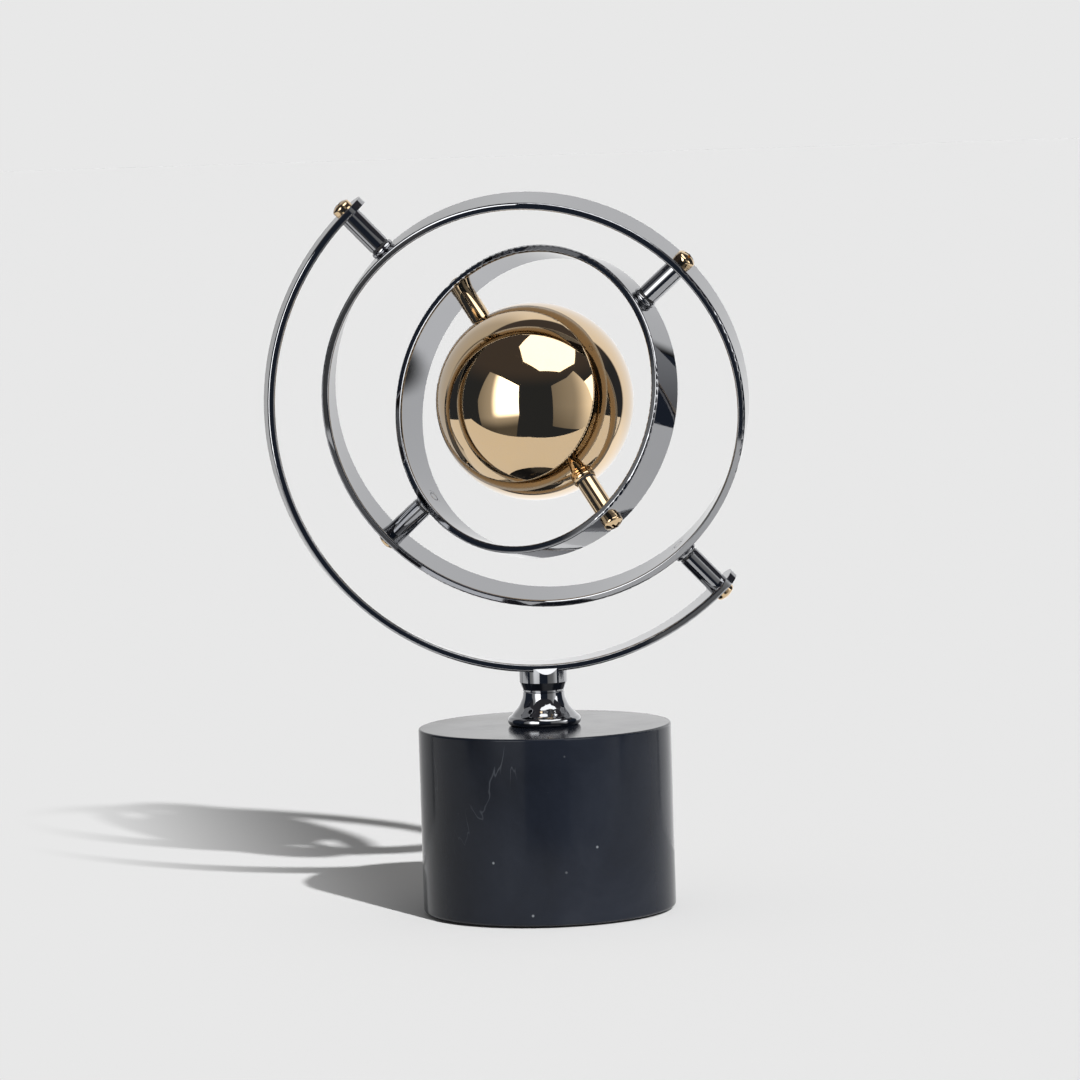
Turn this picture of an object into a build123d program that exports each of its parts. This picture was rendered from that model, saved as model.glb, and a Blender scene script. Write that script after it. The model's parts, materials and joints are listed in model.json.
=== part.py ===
from build123d import *

import os

# Desk armillary sphere: a polished ball in two gimbal rings, hung in an open arc on a marble base.
# Millimetres and degrees. +Z is up, the origin is the centre of the rest face under the pad, and
# the open arc stands in the XZ plane. The rings are modelled turned to the pose they are shown in.

os.makedirs("parts", exist_ok=True)

# ---------------------------------------------------------------- driving dimensions
BASE_DIAMETER = 100.0
BASE_TOP = 74.0  # top of the marble above the rest face
PAD_THICKNESS = 1.0
CENTRE_HEIGHT = 202.0  # common centre of the arc, the rings and the ball

STRIP_WIDTH = 16.0
STRIP_THICKNESS = 3.0
STRIP_EDGE_RADIUS = 0.8
ARC_RADIUS = 106.4  # this and the next three are outside radii
MIDDLE_RADIUS = 84.0
INNER_RADIUS = 61.4
BALL_RADIUS = 39.0
BALL_WALL = 1.2

ARC_SLOPE = 46.7  # the line between the arc's two tips falls this much towards +X
MIDDLE_TURN = 23.6  # how far each ring is turned about the axis that carries it
INNER_TURN = -37.0
PIVOT_OFFSET = -1.1  # the middle ring's second pair of pivots is this far from a quarter turn

# ---------------------------------------------------------------- pivot hardware
RING_POST_RADIUS = 4.25
BALL_POST_RADIUS = 4.1
JOURNAL_RADIUS = 2.0
RUNNING_CLEARANCE = 0.05  # radial, journal in bush
FLANGE_RADIUS = 4.9
FLANGE_THICKNESS = 2.3
FLANGE_BULGE = 0.6
BARREL_RADIUS = 3.0
BALL_BARREL_LENGTH = 3.0
SEAT_GAP = 0.02  # between parts that are fitted together and do not move
WASHER_RADIUS = 3.9
WASHER_THICKNESS = 0.6
AXIAL_PLAY = 0.03  # each side of the friction washer
SCREW_RADIUS = 2.0  # M4, its thread modelled as a plain cylinder
SCREW_HOLE_RADIUS = 2.1
THREAD_GAP = 0.05
SCREW_LENGTH = 12.0
SCREW_HEAD_RADIUS = 4.0
SCREW_HEAD_HEIGHT = 3.6
SCREW_HEAD_CROWN = 1.4  # rise of the domed top
SCREW_HEAD_ROUNDING = 1.2
CROSS_LENGTH = 4.4
CROSS_WIDTH = 1.0
CROSS_DEPTH = 2.0

# ---------------------------------------------------------------- pedestal and its bolt
FOOT_RIM_RADIUS = 14.5
FOOT_RIM_HEIGHT = 3.8
COLLAR_RADIUS = 9.45
WAIST_RADIUS = 8.2
SEAT_DEPTH = 1.3  # how deep the strip sits in the saddle
LIP_FLAT = 0.35  # level top of the two lips that hold the strip
LIP_DROP = 2.6  # fall of the bevel outside them
BOLT_RADIUS = 3.0  # M6
BOLT_LENGTH = 70.0
BOLT_HEAD_FLATS = 10.0
BOLT_HEAD_HEIGHT = 4.0
CLAMP_WASHER_RADIUS = 9.0
CLAMP_WASHER_THICKNESS = 1.6
BOLT_CLEARANCE = 0.3
COUNTERBORE_RADIUS = 12.0
COUNTERBORE_DEPTH = 14.0
PEDESTAL_HOLE_DEPTH = 12.0

BOLT_SEAT = PAD_THICKNESS + COUNTERBORE_DEPTH - CLAMP_WASHER_THICKNESS
PEDESTAL_TOP = CENTRE_HEIGHT - ARC_RADIUS + SEAT_DEPTH
CENTRE = Vector(0, 0, CENTRE_HEIGHT)


# ---------------------------------------------------------------- planes of the moving levels
# A level's plane has X along the axis that carries that level and Z along its strip's width.
def turned_about_x(plane, angle):
    normal = plane.z_dir.rotate(Axis((0, 0, 0), plane.x_dir), angle)
    return Plane(plane.origin, x_dir=plane.x_dir, z_dir=normal)


def quarter_turn(plane, offset=0.0):
    """The same ring plane with X along the ring's other pivot axis."""
    other = (-plane.y_dir).rotate(Axis((0, 0, 0), plane.z_dir), offset)
    return Plane(plane.origin, x_dir=other, z_dir=plane.z_dir)


def across(plane):
    """The plane square to a level's X axis, for outlines seen along that axis."""
    return Plane(plane.origin, x_dir=plane.y_dir, z_dir=plane.x_dir)


def profile_plane(plane, side):
    """Holds a level's X axis: its own x is a radius, its y runs outward along that axis."""
    return Plane(plane.origin, x_dir=plane.z_dir, z_dir=plane.z_dir.cross(plane.x_dir * side))


arc_plane = Plane(CENTRE, x_dir=Vector(1, 0, 0).rotate(Axis.Y, ARC_SLOPE), z_dir=(0, 1, 0))
middle_plane = turned_about_x(arc_plane, MIDDLE_TURN)
inner_carrier = quarter_turn(middle_plane, PIVOT_OFFSET)
inner_plane = turned_about_x(inner_carrier, INNER_TURN)
ball_plane = quarter_turn(inner_plane)


def finish(piece, name):
    piece.part.label = name
    export_step(piece.part, f"parts/{name}.step")


# ---------------------------------------------------------------- base
def make_base_pad():
    with BuildPart() as pad:
        with BuildSketch():
            Circle(BASE_DIAMETER / 2 - 3)
        extrude(amount=PAD_THICKNESS)
    finish(pad, "base_pad")


def make_marble_base():
    with BuildPart() as base:
        with BuildSketch(Plane.XY.offset(PAD_THICKNESS)):
            Circle(BASE_DIAMETER / 2)
        extrude(amount=BASE_TOP - PAD_THICKNESS)
        fillet(base.edges().filter_by(GeomType.CIRCLE).sort_by(Axis.Z)[-1], radius=0.8)
        fillet(base.edges().filter_by(GeomType.CIRCLE).sort_by(Axis.Z)[0], radius=1.2)
        with BuildSketch(Plane.XY.offset(PAD_THICKNESS)):
            Circle(COUNTERBORE_RADIUS)
        extrude(amount=COUNTERBORE_DEPTH, mode=Mode.SUBTRACT)
        with BuildSketch(Plane.XY.offset(PAD_THICKNESS)):
            Circle(BOLT_RADIUS + BOLT_CLEARANCE)
        extrude(amount=BASE_TOP, mode=Mode.SUBTRACT)
    finish(base, "marble_base")


def make_clamp_washer():
    with BuildPart() as washer:
        with BuildSketch(Plane.XY.offset(BOLT_SEAT)):
            Circle(CLAMP_WASHER_RADIUS)
            Circle(BOLT_RADIUS + BOLT_CLEARANCE, mode=Mode.SUBTRACT)
        extrude(amount=CLAMP_WASHER_THICKNESS)
    finish(washer, "clamp_washer")


def make_clamp_bolt():
    with BuildPart() as bolt:
        with BuildSketch(Plane.XY.offset(BOLT_SEAT - BOLT_HEAD_HEIGHT)):
            RegularPolygon(BOLT_HEAD_FLATS / 2, 6, major_radius=False)
        extrude(amount=BOLT_HEAD_HEIGHT)
        with BuildSketch(Plane.XY.offset(BOLT_SEAT)):
            Circle(BOLT_RADIUS - THREAD_GAP)
        extrude(amount=BOLT_LENGTH)
        chamfer(bolt.faces().sort_by(Axis.Z)[-1].edges(), length=0.6)
    finish(bolt, "clamp_bolt")


# ---------------------------------------------------------------- pedestal
def make_pedestal():
    rim_top = BASE_TOP + FOOT_RIM_HEIGHT
    flare_end = BASE_TOP + 13.1
    collar_bottom = BASE_TOP + 17.2
    lip = STRIP_WIDTH / 2 + SEAT_GAP + LIP_FLAT
    with BuildPart() as pedestal:
        with BuildSketch(Plane.XZ):
            with BuildLine():
                # rounded foot rim, then a hollow flare up to the waist
                Polyline((0, BASE_TOP), (FOOT_RIM_RADIUS - 1.4, BASE_TOP))
                ThreePointArc(
                    (FOOT_RIM_RADIUS - 1.4, BASE_TOP),
                    (FOOT_RIM_RADIUS, BASE_TOP + FOOT_RIM_HEIGHT / 2),
                    (FOOT_RIM_RADIUS - 1.1, rim_top),
                )
                Spline(
                    (FOOT_RIM_RADIUS - 1.1, rim_top),
                    (WAIST_RADIUS + 3.7, BASE_TOP + 5.4),
                    (WAIST_RADIUS + 1.9, BASE_TOP + 7.4),
                    (WAIST_RADIUS + 0.8, BASE_TOP + 9.6),
                    (WAIST_RADIUS, flare_end),
                    tangents=((-1, 0.7), (0, 1)),
                )
                # fine groove, turned-out neck and straight collar
                Polyline(
                    (WAIST_RADIUS, flare_end),
                    (WAIST_RADIUS - 0.3, flare_end + 0.25),
                    (WAIST_RADIUS, flare_end + 0.5),
                    (WAIST_RADIUS, flare_end + 1.1),
                    (COLLAR_RADIUS, collar_bottom),
                    (COLLAR_RADIUS, PEDESTAL_TOP),
                    (0, PEDESTAL_TOP),
                    (0, BASE_TOP),
                )
            make_face()
        revolve(axis=Axis.Z)
        # saddle: whatever lies within the strip's width and above its outer face goes
        with BuildSketch(Plane.XZ):
            with Locations((0, CENTRE_HEIGHT)):
                Circle(ARC_RADIUS + SEAT_GAP)
        extrude(amount=STRIP_WIDTH / 2 + SEAT_GAP, both=True, mode=Mode.SUBTRACT)
        # bevels outside the two lips
        with BuildSketch(Plane.YZ):
            with BuildLine():
                Polyline(
                    (lip, PEDESTAL_TOP),
                    (COLLAR_RADIUS + 0.2, PEDESTAL_TOP),
                    (COLLAR_RADIUS + 0.2, PEDESTAL_TOP - LIP_DROP),
                    close=True,
                )
            make_face()
            mirror(about=Plane.YZ)
        extrude(amount=COLLAR_RADIUS, both=True, mode=Mode.SUBTRACT)
        with BuildSketch(Plane.XY.offset(BASE_TOP)):
            Circle(BOLT_RADIUS)
        extrude(amount=PEDESTAL_HOLE_DEPTH, mode=Mode.SUBTRACT)
    finish(pedestal, "pedestal")


# ---------------------------------------------------------------- arc, rings and ball
def strip_hoop(plane, outer_radius):
    """Adds a closed hoop of the flat strip, its four long edges rounded, to the open part."""
    with BuildSketch(plane) as band:
        Circle(outer_radius)
        Circle(outer_radius - STRIP_THICKNESS, mode=Mode.SUBTRACT)
    extrude(band.sketch, amount=STRIP_WIDTH / 2, both=True)
    fillet(edges().filter_by(GeomType.CIRCLE), radius=STRIP_EDGE_RADIUS)


def drill_through(plane, radius, reach):
    """One straight hole along a plane's X axis, through both sides of the open part."""
    with BuildSketch(across(plane)) as hole:
        Circle(radius)
    extrude(hole.sketch, amount=reach, both=True, mode=Mode.SUBTRACT)


def make_outer_arc():
    with BuildPart() as arc:
        strip_hoop(arc_plane, ARC_RADIUS)
        # Seen along the pivot axis, only the lower half stays, with a full-round tip at each pivot.
        with BuildSketch(across(arc_plane)):
            Circle(STRIP_WIDTH / 2)
            Rectangle(ARC_RADIUS, STRIP_WIDTH, align=(Align.MIN, Align.CENTER))
        extrude(amount=ARC_RADIUS, both=True, mode=Mode.INTERSECT)
        drill_through(arc_plane, SCREW_HOLE_RADIUS, ARC_RADIUS)
    finish(arc, "outer_arc")


def make_ring(name, plane, next_carrier, outer_radius):
    """A ring with bush holes on its own axis and screw holes on the axis it carries."""
    with BuildPart() as ring:
        strip_hoop(plane, outer_radius)
        drill_through(plane, BARREL_RADIUS + SEAT_GAP, outer_radius)
        drill_through(next_carrier, SCREW_HOLE_RADIUS, outer_radius)
    finish(ring, name)


def make_ball():
    with BuildPart() as ball:
        with BuildSketch(profile_plane(ball_plane, 1)):
            Circle(BALL_RADIUS)
            Circle(BALL_RADIUS - BALL_WALL, mode=Mode.SUBTRACT)
            left_half = (Align.MAX, Align.CENTER)
            Rectangle(BALL_RADIUS, 2 * BALL_RADIUS, align=left_half, mode=Mode.SUBTRACT)
        revolve(axis=Axis(CENTRE, ball_plane.x_dir))
        drill_through(ball_plane, BARREL_RADIUS + SEAT_GAP, BALL_RADIUS)
    finish(ball, "ball")


# ---------------------------------------------------------------- pivots
def turned(plane, side, outline):
    """Revolves an outline of (radius, distance from the centre) points about a pivot axis."""
    with BuildSketch(profile_plane(plane, side)) as profile:
        with BuildLine():
            Polyline(*outline, close=True)
        make_face()
    revolve(profile.sketch, axis=Axis(CENTRE, plane.x_dir))


def make_screw(name, plane, side, seat):
    """Cross-head screw; seat is the radius of the strip's face under its head."""
    top = seat + SCREW_HEAD_HEIGHT
    rim = top - SCREW_HEAD_CROWN
    crown_radius = (SCREW_HEAD_RADIUS**2 + SCREW_HEAD_CROWN**2) / (2 * SCREW_HEAD_CROWN)
    shank = SCREW_RADIUS - THREAD_GAP
    foot = seat - SCREW_LENGTH
    outward = plane.x_dir * side
    with BuildPart() as screw:
        with BuildSketch(profile_plane(plane, side)):
            with BuildLine():
                Polyline((0, top), (0, seat), (SCREW_HEAD_RADIUS, seat), (SCREW_HEAD_RADIUS, rim))
                RadiusArc((0, top), (SCREW_HEAD_RADIUS, rim), crown_radius)
            make_face()
        revolve(axis=Axis(CENTRE, plane.x_dir))
        rims = screw.edges().filter_by(lambda edge: edge.is_closed).sort_by(Axis(CENTRE, outward))
        fillet(rims[-1], radius=SCREW_HEAD_ROUNDING)
        turned(plane, side, [(0, seat), (shank, seat), (shank, foot + 0.5), (shank - 0.5, foot), (0, foot)])
        with BuildSketch(Plane(CENTRE + outward * top, x_dir=plane.z_dir, z_dir=outward)):
            Rectangle(CROSS_LENGTH, CROSS_WIDTH)
            Rectangle(CROSS_WIDTH, CROSS_LENGTH)
        extrude(amount=-CROSS_DEPTH, mode=Mode.SUBTRACT)
    finish(screw, name)


def make_post(name, plane, side, radius, carrier_face, shoulder, journal_end):
    """Round post from the carrier's inner face to a shoulder, then a journal that runs in the bush."""
    edge = 0.35
    hole_end = carrier_face + STRIP_THICKNESS - SCREW_LENGTH - 0.8
    with BuildPart() as post:
        turned(
            plane,
            side,
            [
                (0, journal_end),
                (JOURNAL_RADIUS - edge, journal_end),
                (JOURNAL_RADIUS, journal_end + edge),
                (JOURNAL_RADIUS, shoulder),
                (radius - edge, shoulder),
                (radius, shoulder + edge),
                (radius, carrier_face),
                (0, carrier_face),
            ],
        )
        # the outer end is crowned to sit against the strip's hollow face
        with BuildSketch(plane):
            Circle(carrier_face - SEAT_GAP)
        extrude(amount=radius, both=True, mode=Mode.INTERSECT)
        with BuildSketch(across(plane).offset(side * hole_end)):
            Circle(SCREW_RADIUS)
        extrude(amount=side * SCREW_LENGTH, mode=Mode.SUBTRACT)
    finish(post, name)


def make_friction_washer(name, plane, side, bottom):
    top = bottom + WASHER_THICKNESS
    bore = JOURNAL_RADIUS + RUNNING_CLEARANCE
    with BuildPart() as washer:
        turned(plane, side, [(bore, bottom), (WASHER_RADIUS, bottom), (WASHER_RADIUS, top), (bore, top)])
    finish(washer, name)


def make_bush(name, plane, side, seat, barrel_end):
    """Flanged bush; seat is the radius of the face under its flange, and the flange is hollowed to fit."""
    bore = JOURNAL_RADIUS + RUNNING_CLEARANCE
    top = seat + FLANGE_THICKNESS
    low = seat - 1
    waist = FLANGE_RADIUS - FLANGE_BULGE
    on_ball = seat == BALL_RADIUS
    with BuildPart() as bush:
        with BuildSketch(profile_plane(plane, side)):
            with BuildLine():
                Polyline((waist, top), (bore, top), (bore, low), (waist, low), (waist, seat))
                ThreePointArc((waist, seat), (FLANGE_RADIUS, seat + FLANGE_THICKNESS / 2), (waist, top))
            make_face()
        revolve(axis=Axis(CENTRE, plane.x_dir))
        if on_ball:
            with BuildSketch(profile_plane(plane, side)):
                Circle(seat + SEAT_GAP)
                left_half = (Align.MAX, Align.CENTER)
                Rectangle(2 * seat, 4 * seat, align=left_half, mode=Mode.SUBTRACT)
            revolve(axis=Axis(CENTRE, plane.x_dir), mode=Mode.SUBTRACT)
        else:
            with BuildSketch(plane):
                Circle(seat + SEAT_GAP)
            extrude(amount=STRIP_WIDTH, both=True, mode=Mode.SUBTRACT)
        outer = BARREL_RADIUS
        overlap = seat + 0.5
        turned(plane, side, [(bore, barrel_end), (outer, barrel_end), (outer, overlap), (bore, overlap)])
    finish(bush, name)


def make_pivot_pair(carried, plane, carrier, carrier_radius, seat, barrel_end, post_radius):
    """Both pivots of one level: screw and post on the carrier, friction washer, bush on the carried part.

    plane and carrier share their X axis; each has its Z along the width of its own strip.
    """
    washer_bottom = seat + FLANGE_THICKNESS + AXIAL_PLAY
    shoulder = washer_bottom + WASHER_THICKNESS + AXIAL_PLAY
    carrier_face = carrier_radius - STRIP_THICKNESS
    for side in (-1, 1):
        height = "upper" if side * plane.x_dir.Z > 0 else "lower"
        name = f"{carried}_{height}"
        make_screw(f"{name}_screw", carrier, side, carrier_radius)
        make_post(f"{name}_post", carrier, side, post_radius, carrier_face, shoulder, barrel_end)
        make_friction_washer(f"{name}_friction_washer", plane, side, washer_bottom)
        make_bush(f"{name}_bush", plane, side, seat, barrel_end)


# ---------------------------------------------------------------- the whole object
make_base_pad()
make_marble_base()
make_clamp_washer()
make_clamp_bolt()
make_pedestal()
make_outer_arc()
make_ring("middle_ring", middle_plane, inner_carrier, MIDDLE_RADIUS)
make_ring("inner_ring", inner_plane, ball_plane, INNER_RADIUS)
make_ball()

middle_bore_end = MIDDLE_RADIUS - STRIP_THICKNESS
inner_bore_end = INNER_RADIUS - STRIP_THICKNESS
ball_bore_end = BALL_RADIUS - BALL_BARREL_LENGTH
make_pivot_pair(
    "middle_ring", middle_plane, arc_plane, ARC_RADIUS, MIDDLE_RADIUS, middle_bore_end, RING_POST_RADIUS
)
make_pivot_pair(
    "inner_ring", inner_plane, inner_carrier, MIDDLE_RADIUS, INNER_RADIUS, inner_bore_end, RING_POST_RADIUS
)
make_pivot_pair(
    "ball", ball_plane, ball_plane, INNER_RADIUS, BALL_RADIUS, ball_bore_end, BALL_POST_RADIUS
)
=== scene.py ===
"""Looks for the desk armillary sphere: metals, marble, pad, a pale studio and the camera."""

import json
import math

import bpy
from mathutils import Matrix, Vector


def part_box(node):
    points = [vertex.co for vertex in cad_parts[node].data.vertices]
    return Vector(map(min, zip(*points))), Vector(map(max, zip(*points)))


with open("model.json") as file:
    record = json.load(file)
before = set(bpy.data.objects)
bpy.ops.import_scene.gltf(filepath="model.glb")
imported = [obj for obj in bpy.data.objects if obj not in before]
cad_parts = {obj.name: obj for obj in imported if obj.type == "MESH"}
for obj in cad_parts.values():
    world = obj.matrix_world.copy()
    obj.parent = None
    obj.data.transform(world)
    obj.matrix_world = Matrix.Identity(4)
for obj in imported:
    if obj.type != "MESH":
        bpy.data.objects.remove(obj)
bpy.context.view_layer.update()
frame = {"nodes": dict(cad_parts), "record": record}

# ---------------------------------------------------------------- places
ball_low, ball_high = (Vector(corner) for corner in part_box("ball"))
CENTRE = (ball_low + ball_high) / 2

# The camera looks from a little left of the object's front, and the backdrop is square to it.
YAW, PITCH, ROLL = -8.54, 4.524, -1.7435
CAMERA_PLACE = (-0.30283, -2.01927, 0.30877)
LENS = 173.0
SENSOR_WIDTH = 36.0
FORWARD = Vector((-math.sin(math.radians(YAW)), math.cos(math.radians(YAW)), 0))

# radiances
PALE = 0.807  # floor and surroundings as the camera sees them
AMBIENT = 0.22  # even fill on matt surfaces
DARK_LOW = (0.024, 0.031, 0.046)  # the unlit studio as mirrors see it, low down
DARK_HIGH = (0.058, 0.055, 0.062)  # and its upper part, which catches spilt light
BACKDROP_GLOW = 0.90
BACKDROP_LEFT_GLOW = 0.48

# the backdrop panel, measured from the ball
BACKDROP_DISTANCE = 0.157
BACKDROP_HALF_WIDTH = 0.31
BACKDROP_HEIGHT = 0.455
PANEL_DISTANCE = 0.9

# the sun and the floor, which in mirrors ends at the edges of a table
SUN_FROM = Vector((0.50, -1.43, 1.0)).normalized()
SUN_ANGLE = 1.5  # degrees across, which softens the shadows
FLOOR_ALBEDO = 0.8
SUN_STRENGTH = (PALE / FLOOR_ALBEDO - AMBIENT) * math.pi / SUN_FROM.z  # lights the floor to PALE
FLOOR_HALF_SIZE = 60.0
SHADOW_FADE = (-0.04, -0.20)  # x where the painted pale glow starts to make shadows paler, and where they are gone
TABLE_HALF_WIDTH = 0.88
TABLE_FRONT = -0.265
TABLE_CUT_SLOPE, TABLE_CUT_OFFSET = 0.307, -0.29  # the slanting front left edge


# ---------------------------------------------------------------- node helpers
def new_nodes(owner):
    """Empties a material's or world's node tree and returns (nodes, link function)."""
    owner.use_nodes = True
    tree = owner.node_tree
    tree.nodes.clear()
    return tree.nodes, tree.links.new


def math_node(nodes, link, operation, first, second=0.0):
    node = nodes.new("ShaderNodeMath")
    node.operation = operation
    for socket, value in zip(node.inputs, (first, second)):
        if isinstance(value, (int, float)):
            socket.default_value = value
        else:
            link(value, socket)
    return node.outputs[0]


def multiply(nodes, link, first, *others):
    product = first
    for factor in others:
        product = math_node(nodes, link, "MULTIPLY", product, factor)
    return product


def distance_from(nodes, link, value, middle):
    return math_node(nodes, link, "ABSOLUTE", math_node(nodes, link, "SUBTRACT", value, middle))


def along(nodes, link, vector, axis):
    """The component of a vector socket along an axis."""
    node = nodes.new("ShaderNodeVectorMath")
    node.operation = "DOT_PRODUCT"
    link(vector, node.inputs[0])
    node.inputs[1].default_value = axis
    return node.outputs["Value"]


def ramp_node(nodes, link, factor, stops):
    """Colour ramp through (position, colour) stops."""
    node = nodes.new("ShaderNodeValToRGB")
    elements = node.color_ramp.elements
    while len(elements) < len(stops):
        elements.new(0.5)
    for element, (position, colour) in zip(elements, stops):
        element.position = position
        element.color = (*colour, 1.0)
    link(factor, node.inputs["Fac"])
    return node.outputs["Color"]


def range_node(nodes, link, value, low, high, out_low=0.0, out_high=1.0, smooth=False):
    """Maps low..high to out_low..out_high and holds the ends."""
    node = nodes.new("ShaderNodeMapRange")
    node.interpolation_type = "SMOOTHSTEP" if smooth else "LINEAR"
    for name, number in (
        ("From Min", low),
        ("From Max", high),
        ("To Min", out_low),
        ("To Max", out_high),
    ):
        node.inputs[name].default_value = number
    link(value, node.inputs["Value"])
    return node.outputs["Result"]


def noise_node(nodes, link, vector, scale, detail=2.0, roughness=0.5, distortion=0.0):
    node = nodes.new("ShaderNodeTexNoise")
    node.inputs["Scale"].default_value = scale
    node.inputs["Detail"].default_value = detail
    node.inputs["Roughness"].default_value = roughness
    node.inputs["Distortion"].default_value = distortion
    link(vector, node.inputs["Vector"])
    return node.outputs["Fac"]


def bump_node(nodes, link, height, strength, distance):
    node = nodes.new("ShaderNodeBump")
    node.inputs["Strength"].default_value = strength
    node.inputs["Distance"].default_value = distance
    link(height, node.inputs["Height"])
    return node.outputs["Normal"]


def mix_colour(nodes, link, factor, first, second):
    node = nodes.new("ShaderNodeMix")
    node.data_type = "RGBA"
    sockets = (node.inputs["Factor"], node.inputs[6], node.inputs[7])  # 6 and 7 are the colours
    for socket, value in zip(sockets, (factor, first, second)):
        if isinstance(value, (int, float)):
            socket.default_value = value
        elif isinstance(value, tuple):
            socket.default_value = (*value, 1.0)
        else:
            link(value, socket)
    return node.outputs[2]


def surface_material(name):
    """A material with a Principled shader already wired to the output."""
    material = bpy.data.materials.new(name)
    nodes, link = new_nodes(material)
    shader = nodes.new("ShaderNodeBsdfPrincipled")
    output = nodes.new("ShaderNodeOutputMaterial")
    link(shader.outputs["BSDF"], output.inputs["Surface"])
    place = nodes.new("ShaderNodeTexCoord").outputs["Object"]
    return material, nodes, link, shader, place


# ---------------------------------------------------------------- materials
def polished_plate(name, colour, roughness, lacquer=0.0):
    """Mirror-bright plating with faint polishing haze and slow colour drift."""
    material, nodes, link, shader, place = surface_material(name)
    drift = noise_node(nodes, link, place, 22, detail=3)
    tint = range_node(nodes, link, drift, 0.3, 0.7, 0.965, 1.0)
    shade = nodes.new("ShaderNodeVectorMath")
    shade.operation = "SCALE"
    shade.inputs[0].default_value = colour
    link(tint, shade.inputs["Scale"])
    link(shade.outputs["Vector"], shader.inputs["Base Color"])
    shader.inputs["Metallic"].default_value = 1.0
    shader.inputs["Coat Weight"].default_value = lacquer
    shader.inputs["Coat IOR"].default_value = 1.8
    shader.inputs["Coat Roughness"].default_value = 0.02
    haze = noise_node(nodes, link, place, 160, detail=4, roughness=0.6)
    smudge = noise_node(nodes, link, place, 35, detail=2)
    both = multiply(nodes, link, haze, smudge)
    hazed = range_node(nodes, link, both, 0.15, 0.45, roughness, roughness + 0.035)
    link(hazed, shader.inputs["Roughness"])
    return material


def marble_veins(nodes, link, place):
    """Hairlines where a stretched noise crosses its middle value, in patches near the top and -X."""
    stretch = nodes.new("ShaderNodeMapping")
    stretch.inputs["Rotation"].default_value = (0.5, 0.35, 0.9)
    stretch.inputs["Scale"].default_value = (1.0, 1.0, 0.35)
    link(place, stretch.inputs["Vector"])
    stretched = stretch.outputs["Vector"]
    field = noise_node(nodes, link, stretched, 26, detail=4, roughness=0.55, distortion=1.2)
    line = range_node(nodes, link, distance_from(nodes, link, field, 0.5), 0.0, 0.006, 1.0, 0.0)
    patch = noise_node(nodes, link, place, 40, detail=1)
    patch = range_node(nodes, link, patch, 0.48, 0.62, smooth=True)
    corner = along(nodes, link, place, (-0.6, 0, 0.8))
    corner = range_node(nodes, link, corner, 0.040, 0.062, smooth=True)
    return multiply(nodes, link, line, patch, corner)


def marble_flecks(nodes, link, place):
    """Small dots of unequal strength, in a few Voronoi cells only."""
    cells = nodes.new("ShaderNodeTexVoronoi")
    cells.inputs["Scale"].default_value = 150
    cells.inputs["Randomness"].default_value = 1.0
    link(place, cells.inputs["Vector"])
    spot = range_node(nodes, link, cells.outputs["Distance"], 0.02, 0.10, 1.0, 0.0)
    pick = nodes.new("ShaderNodeSeparateColor")
    link(cells.outputs["Color"], pick.inputs["Color"])
    chosen = math_node(nodes, link, "GREATER_THAN", pick.outputs["Red"], 0.72)
    strength = math_node(nodes, link, "POWER", pick.outputs["Green"], 2.0)
    return multiply(nodes, link, spot, chosen, strength)


def black_marble():
    """Polished blue-black marble: cloudy ground, hairline pale veins and scattered white flecks."""
    material, nodes, link, shader, place = surface_material("marble")
    cloud = noise_node(nodes, link, place, 18, detail=6, roughness=0.6, distortion=0.6)
    dark, middle, light = (0.0065, 0.008, 0.012), (0.0105, 0.013, 0.0195), (0.018, 0.021, 0.029)
    colour = ramp_node(nodes, link, cloud, [(0.30, dark), (0.55, middle), (0.80, light)])
    vein = multiply(nodes, link, marble_veins(nodes, link, place), 0.30)
    colour = mix_colour(nodes, link, vein, colour, (0.12, 0.13, 0.15))
    fleck = multiply(nodes, link, marble_flecks(nodes, link, place), 0.8)
    colour = mix_colour(nodes, link, fleck, colour, (0.42, 0.45, 0.48))
    link(colour, shader.inputs["Base Color"])
    haze = noise_node(nodes, link, place, 60, detail=3)
    link(range_node(nodes, link, haze, 0.3, 0.7, 0.11, 0.17), shader.inputs["Roughness"])
    shader.inputs["IOR"].default_value = 1.28
    return material


def pressed_felt():
    """Dark pressed felt: matted fibres at two scales."""
    material, nodes, link, shader, place = surface_material("felt")
    fibre = noise_node(nodes, link, place, 1600, detail=4, roughness=0.7, distortion=1.5)
    clump = noise_node(nodes, link, place, 260, detail=3)
    matted = multiply(nodes, link, fibre, clump)
    colour = ramp_node(nodes, link, matted, [(0.12, (0.010, 0.010, 0.011)), (0.42, (0.040, 0.040, 0.043))])
    link(colour, shader.inputs["Base Color"])
    shader.inputs["Roughness"].default_value = 0.95
    shader.inputs["Sheen Weight"].default_value = 0.35
    link(bump_node(nodes, link, matted, 0.6, 0.0004), shader.inputs["Normal"])
    return material


def zinc_steel():
    """Zinc-plated steel: soft crystalline mottle."""
    material, nodes, link, shader, place = surface_material("steel")
    grain = noise_node(nodes, link, place, 420, detail=4, roughness=0.65)
    colour = ramp_node(nodes, link, grain, [(0.3, (0.42, 0.43, 0.45)), (0.7, (0.62, 0.63, 0.66))])
    link(colour, shader.inputs["Base Color"])
    shader.inputs["Metallic"].default_value = 1.0
    link(range_node(nodes, link, grain, 0.3, 0.7, 0.24, 0.42), shader.inputs["Roughness"])
    return material


def black_nylon():
    """Moulded nylon with a faint grain."""
    material, nodes, link, shader, place = surface_material("nylon")
    grain = noise_node(nodes, link, place, 900, detail=3)
    colour = ramp_node(nodes, link, grain, [(0.3, (0.014, 0.014, 0.015)), (0.7, (0.026, 0.026, 0.028))])
    link(colour, shader.inputs["Base Color"])
    shader.inputs["Roughness"].default_value = 0.5
    link(bump_node(nodes, link, grain, 0.2, 0.0001), shader.inputs["Normal"])
    return material


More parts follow.
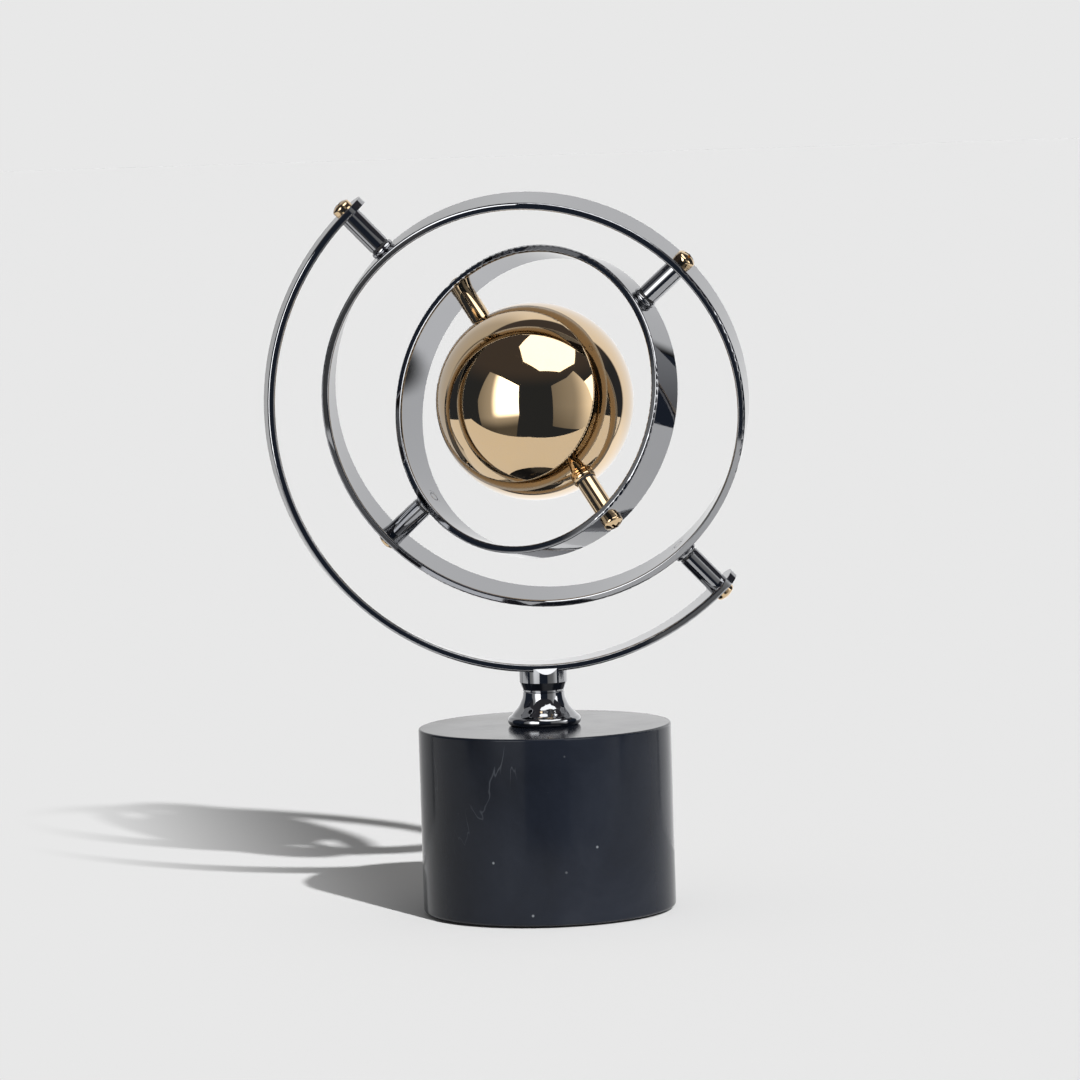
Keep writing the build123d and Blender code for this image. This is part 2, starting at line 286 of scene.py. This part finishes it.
def dress_nodes():
    """Gives each CAD node the material of its slot in the record."""
    finishes = {
        "black_nickel": polished_plate("black_nickel", (0.385, 0.39, 0.405), 0.03),
        "gold_plate": polished_plate("gold_plate", (0.76, 0.53, 0.275), 0.02, lacquer=1.0),
        "marble": black_marble(),
        "felt": pressed_felt(),
        "steel": zinc_steel(),
        "nylon": black_nylon(),
    }
    for entry in frame["record"]["subparts"]:
        node = frame["nodes"][entry["node"]]
        node.data.materials.clear()
        node.data.materials.append(finishes[entry["material_slot"]])


# ---------------------------------------------------------------- studio
def panel(name, corners, direction, distance, material):
    """A flat light panel that only mirrors see.

    Its corners are (right, up) offsets as they look from behind the panel, facing the ball.
    """
    back = direction.normalized()
    right = Vector((0, 0, 1)).cross(back).normalized()
    up = back.cross(right)
    middle = CENTRE + back * distance
    mesh = bpy.data.meshes.new(name)
    mesh.from_pydata([middle + right * x + up * y for x, y in corners], [], [range(len(corners))])
    layer = mesh.uv_layers.new(name="span")
    xs = [x for x, _ in corners]
    ys = [y for _, y in corners]
    for loop, (x, y) in zip(layer.data, corners):
        loop.uv = ((x - min(xs)) / (max(xs) - min(xs)), (y - min(ys)) / (max(ys) - min(ys)))
    obj = bpy.data.objects.new(name, mesh)
    bpy.context.collection.objects.link(obj)
    mesh.materials.append(material)
    obj.visible_camera = False
    obj.visible_diffuse = False
    obj.visible_shadow = False


def towards(azimuth, elevation):
    """Unit vector from the ball: azimuth 0 is -Y and 90 is +X."""
    a, e = math.radians(azimuth), math.radians(elevation)
    return Vector((math.sin(a) * math.cos(e), -math.cos(a) * math.cos(e), math.sin(e)))


def glow(name, strength, build=None):
    """Emission material; build(nodes, link, u, v) may return a strength socket instead."""
    material = bpy.data.materials.new(name)
    nodes, link = new_nodes(material)
    shader = nodes.new("ShaderNodeEmission")
    shader.inputs["Strength"].default_value = strength
    output = nodes.new("ShaderNodeOutputMaterial")
    link(shader.outputs["Emission"], output.inputs["Surface"])
    if build:
        span = nodes.new("ShaderNodeSeparateXYZ")
        link(nodes.new("ShaderNodeTexCoord").outputs["UV"], span.inputs["Vector"])
        link(build(nodes, link, span.outputs["X"], span.outputs["Y"]), shader.inputs["Strength"])
    return material


def scrim_glow(nodes, link, u, v):
    """A lit cloth: a bright patch on its right side that fades out to the left and below."""
    side = range_node(nodes, link, u, 0.33, 0.56, smooth=True)
    height = range_node(nodes, link, v, 0.43, 0.52, smooth=True)
    hot = multiply(nodes, link, side, height, 3.4)
    wash = range_node(nodes, link, u, 0.0, 0.45, 0.25, 0.50)
    below = range_node(nodes, link, v, 0.30, 0.47, 0.20, 1.0, smooth=True)
    return math_node(nodes, link, "ADD", hot, multiply(nodes, link, wash, below))


def side_glow(nodes, link, u, v):
    """Lit from its right, so it brightens that way."""
    slope = range_node(nodes, link, u, 0.0, 0.5, 0.22, 0.34)
    near = range_node(nodes, link, u, 0.50, 1.0, 0.0, 0.8, smooth=True)
    below = range_node(nodes, link, v, 0.0, 0.4, 0.6, 1.0)
    return multiply(nodes, link, math_node(nodes, link, "ADD", slope, near), below)


def backdrop_glow(nodes, link, u, v):
    """Dimmer towards the camera's left, brighter at its foot, soft at its sides and top."""
    level = range_node(nodes, link, u, 0.50, 0.73, BACKDROP_GLOW, BACKDROP_LEFT_GLOW, smooth=True)
    foot = range_node(nodes, link, v, 0.15, 0.25, 1.2, 1.0)
    off_middle = distance_from(nodes, link, u, 0.5)
    sides = range_node(nodes, link, off_middle, 0.43, 0.50, 1.0, 0.0, smooth=True)
    top = range_node(nodes, link, v, 0.94, 1.0, 1.0, 0.0)
    return multiply(nodes, link, level, foot, sides, top)


def softbox_outline():
    """An eight-sided softbox, a little wider than high."""
    angles = [math.radians(45 * k + 8) for k in range(8)]
    return [(0.05 + 0.50 * math.cos(angle), 0.02 + 0.46 * math.sin(angle)) for angle in angles]


def make_panels():
    """The backdrop behind the object and four lights on the camera's side of it."""
    wide, foot, top = BACKDROP_HALF_WIDTH, -CENTRE.z, BACKDROP_HEIGHT
    backdrop = [(-wide, foot), (wide, foot), (wide, top), (-wide, top)]
    scrim = [
        (-0.42, -0.90),
        (0.20, -0.90),
        (0.385, -0.20),
        (0.385, 0.37),
        (-0.31, 0.61),
        (-0.38, 0.33),
        (-0.455, 0.07),
    ]
    side = [
        (-0.45, -0.48),
        (0.36, -0.48),
        (0.36, 0.0),
        (0.27, 0.28),
        (0.09, 0.57),
        (-0.11, 0.45),
        (-0.47, 0.36),
    ]
    strip = [(-0.10, 0.0), (0.10, 0.0), (0.17, 0.25), (0.17, 0.46), (-0.13, 0.36), (-0.15, 0.20)]
    near, far = PANEL_DISTANCE, PANEL_DISTANCE + 0.1
    overhead = glow("overhead_glow", 2.5)
    panel("backdrop", backdrop, FORWARD, BACKDROP_DISTANCE, glow("backdrop_glow", 1.0, backdrop_glow))
    panel("overhead_softbox", softbox_outline(), towards(17.7, 60), near, overhead)
    panel("left_scrim", scrim, towards(-50, 0), near, glow("left_glow", 1.0, scrim_glow))
    panel("right_panel", side, towards(39, 0), near, glow("right_glow", 1.0, side_glow))
    panel("far_right_strip", strip, towards(62, 0), far, glow("strip_glow", 2.5))


def on_table(nodes, link, place):
    """1 on the table top and 0 past its edges."""
    across = along(nodes, link, place, (1, 0, 0))
    back = along(nodes, link, place, (0, 1, 0))
    slant = along(nodes, link, place, (TABLE_CUT_SLOPE, 1, 0))
    behind_front = math_node(nodes, link, "GREATER_THAN", back, TABLE_FRONT)
    behind_slant = math_node(nodes, link, "GREATER_THAN", slant, TABLE_CUT_OFFSET)
    off_middle = math_node(nodes, link, "ABSOLUTE", across)
    in_width = math_node(nodes, link, "LESS_THAN", off_middle, TABLE_HALF_WIDTH)
    return multiply(nodes, link, behind_front, behind_slant, in_width)


def mix_shaders(nodes, link, factor, first, second):
    node = nodes.new("ShaderNodeMixShader")
    link(factor, node.inputs["Fac"])
    link(first.outputs[0], node.inputs[1])
    link(second.outputs[0], node.inputs[2])
    return node


def floor_material():
    material = bpy.data.materials.new("floor")
    nodes, link = new_nodes(material)
    output = nodes.new("ShaderNodeOutputMaterial")
    matt = nodes.new("ShaderNodeBsdfDiffuse")
    matt.inputs["Color"].default_value = (FLOOR_ALBEDO, FLOOR_ALBEDO, FLOOR_ALBEDO, 1.0)
    # painted light: an even pale glow, mixed into the floor below to pale its shadows
    painted_glow = nodes.new("ShaderNodeEmission")
    painted_glow.inputs["Color"].default_value = (PALE, PALE, PALE, 1.0)
    place = nodes.new("ShaderNodeNewGeometry").outputs["Position"]
    # painted light: towards the left the floor is mixed with an even pale glow, so shadows grow paler
    # there, as they would beside a second, weaker light
    painted_fill = range_node(nodes, link, along(nodes, link, place, (1, 0, 0)), *SHADOW_FADE, smooth=True)
    shaded = mix_shaders(nodes, link, painted_fill, matt, painted_glow)
    # past the table's edges a mirror looks through to the dark studio
    beyond = math_node(nodes, link, "SUBTRACT", 1.0, on_table(nodes, link, place))
    mirrored = nodes.new("ShaderNodeLightPath").outputs["Is Glossy Ray"]
    gone = nodes.new("ShaderNodeBsdfTransparent")
    final = mix_shaders(nodes, link, multiply(nodes, link, beyond, mirrored), shaded, gone)
    link(final.outputs[0], output.inputs["Surface"])
    return material


def make_floor():
    """A pale level floor. Mirrors see it only as far as the table's edges."""
    half = FLOOR_HALF_SIZE
    corners = [(-half, -half, 0), (half, -half, 0), (half, half, 0), (-half, half, 0)]
    mesh = bpy.data.meshes.new("floor")
    mesh.from_pydata(corners, [], [(0, 1, 2, 3)])
    mesh.materials.append(floor_material())
    floor = bpy.data.objects.new("floor", mesh)
    bpy.context.collection.objects.link(floor)


def make_world():
    """Pale to the camera, an even fill for matt surfaces and a dark studio for mirrors."""
    world = bpy.data.worlds.new("studio")
    bpy.context.scene.world = world
    nodes, link = new_nodes(world)
    background = nodes.new("ShaderNodeBackground")
    output = nodes.new("ShaderNodeOutputWorld")
    link(background.outputs["Background"], output.inputs["Surface"])
    direction = nodes.new("ShaderNodeTexCoord").outputs["Generated"]
    above = along(nodes, link, direction, (0, 0, 1))
    spill = range_node(nodes, link, above, 0.30, 0.65, smooth=True)
    dark = mix_colour(nodes, link, spill, DARK_LOW, DARK_HIGH)
    path = nodes.new("ShaderNodeLightPath")
    seen = mix_colour(nodes, link, path.outputs["Is Glossy Ray"], (AMBIENT,) * 3, dark)
    seen = mix_colour(nodes, link, path.outputs["Is Camera Ray"], seen, (PALE,) * 3)
    link(seen, background.inputs["Color"])


def make_sun():
    """The key light, from above on the front right. Mirrors don't show it."""
    light = bpy.data.lights.new("key", "SUN")
    light.energy = SUN_STRENGTH
    light.angle = math.radians(SUN_ANGLE)
    sun = bpy.data.objects.new("key", light)
    sun.rotation_mode = "QUATERNION"
    sun.rotation_quaternion = SUN_FROM.to_track_quat("Z", "Y")
    sun.visible_glossy = False
    bpy.context.collection.objects.link(sun)


def make_camera():
    """A little higher than the object's top, with a long lens."""
    data = bpy.data.cameras.new("camera")
    data.lens = LENS
    data.sensor_width = SENSOR_WIDTH
    data.clip_end = 200.0
    camera = bpy.data.objects.new("camera", data)
    turn = (
        Matrix.Rotation(math.radians(YAW), 4, "Z")
        @ Matrix.Rotation(math.radians(90 - PITCH), 4, "X")
        @ Matrix.Rotation(math.radians(ROLL), 4, "Z")
    )
    camera.matrix_world = Matrix.Translation(CAMERA_PLACE) @ turn
    bpy.context.collection.objects.link(camera)
    bpy.context.scene.camera = camera


dress_nodes()
make_panels()
make_floor()
make_world()
make_sun()
make_camera()
bpy.context.scene.view_settings.view_transform = "Standard"
